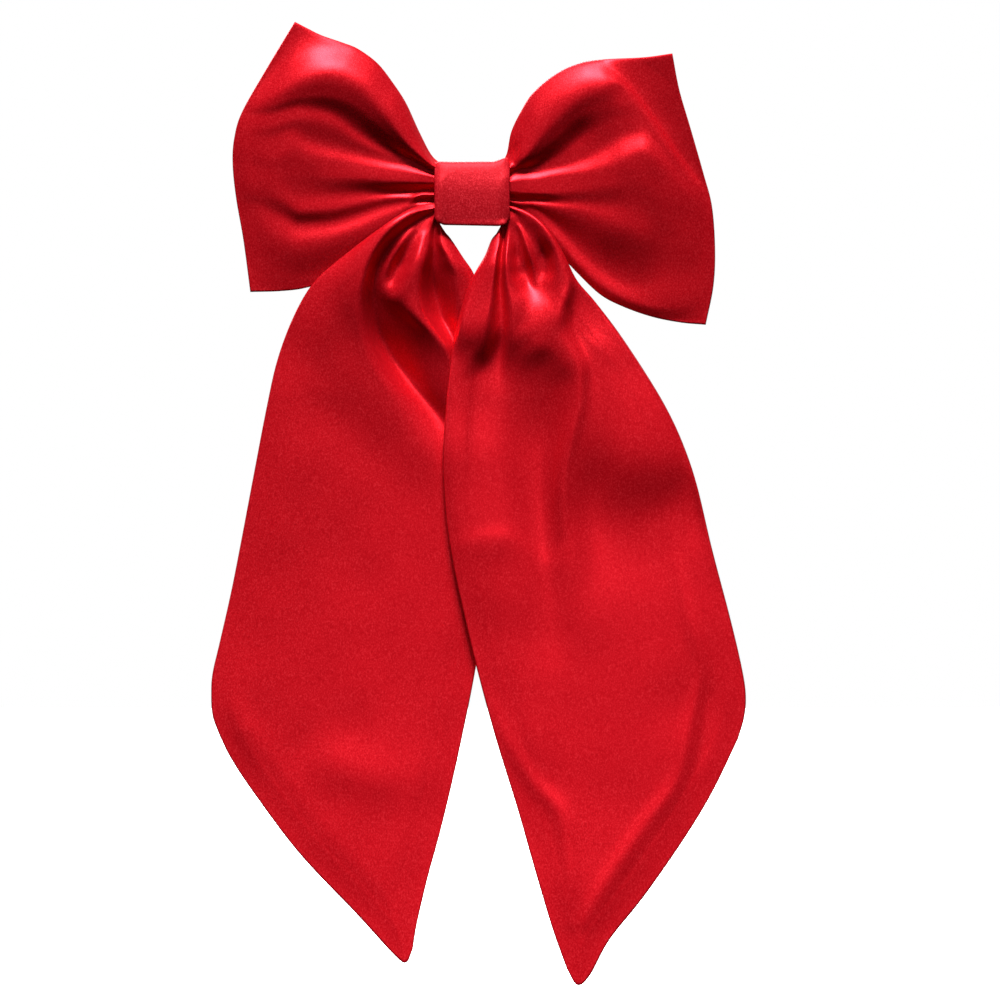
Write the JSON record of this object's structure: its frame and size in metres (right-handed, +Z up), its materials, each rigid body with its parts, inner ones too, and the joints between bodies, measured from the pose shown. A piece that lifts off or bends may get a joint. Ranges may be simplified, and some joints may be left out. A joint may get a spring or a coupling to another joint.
{
  "type": "hair bow",
  "caption": "Long-tailed red satin hair bow with puffed loops, a velvet knot band and diagonal tail ends, on a sprung barrette clip with a swinging clasp.",
  "frame": {"origin": "middle of the gap between the bow spring and the clasp bar, where the hair goes through", "axes": "+X across the bow along the barrette, towards its latch; +Z up as worn; the bow's front faces -Y and the hair side +Y"},
  "size_m": [0.186, 0.0322, 0.3355],
  "materials": {
    "satin_loops": "red satin, glossy side out",
    "satin_tails": "red satin, glossy side out",
    "knot_satin": "red fabric with a close, sparkling, more matt surface",
    "thread": "dark red sewing thread",
    "felt": "dark red pressed felt",
    "steel_plate": "nickel-plated steel, softly brushed",
    "spring_steel": "darker spring steel"
  },
  "bodies": {
    "bow": {"loop_left_front": "satin_loops", "loop_left_back": "satin_loops", "loop_right_front": "satin_loops", "loop_right_back": "satin_loops", "loop_gather": "satin_loops", "gather_thread": "thread", "tail_gather": "satin_tails", "tail_left_neck": "satin_tails", "tail_right_neck": "satin_tails", "knot_band": "knot_satin", "band_stitches": "thread", "backing_pad": "felt", "barrette_plate": "steel_plate", "hinge_pin": "spring_steel", "bow_spring": "spring_steel", "spring_rivet": "steel_plate"},
    "left_tail": {"tail_left_front": "satin_tails", "tail_left_back": "satin_tails"},
    "right_tail": {"tail_right_front": "satin_tails", "tail_right_back": "satin_tails"},
    "clasp": {"clasp_bar": "steel_plate"},
    "upper_prong": {"latch_prong_upper": "spring_steel"},
    "lower_prong": {"latch_prong_lower": "spring_steel"}
  },
  "joints": [
    {"name": "left_tail_swing", "type": "hinge", "parent": "bow", "child": "left_tail", "pos_m": [-0.027, -0.0195, -0.038], "axis": [1, 0, 0], "range_deg": [0, 25]},
    {"name": "right_tail_swing", "type": "hinge", "parent": "bow", "child": "right_tail", "pos_m": [0.02, -0.0252, -0.038], "axis": [1, 0, 0], "range_deg": [-60, 0]},
    {"name": "clasp_open", "type": "hinge", "parent": "bow", "child": "clasp", "pos_m": [-0.037, 0.0016, 0], "axis": [0, 0, 1], "range_deg": [0, 60]},
    {"name": "upper_squeeze", "type": "hinge", "parent": "bow", "child": "upper_prong", "pos_m": [0.0367, -0.0009, 0.0021], "axis": [-1, 0, 0], "range_deg": [0, 8], "stiffness_Nm_per_rad": 0.05},
    {"name": "lower_squeeze", "type": "hinge", "parent": "bow", "child": "lower_prong", "pos_m": [0.0367, -0.0009, -0.0021], "axis": [1, 0, 0], "range_deg": [0, 8], "stiffness_Nm_per_rad": 0.05}
  ]
}
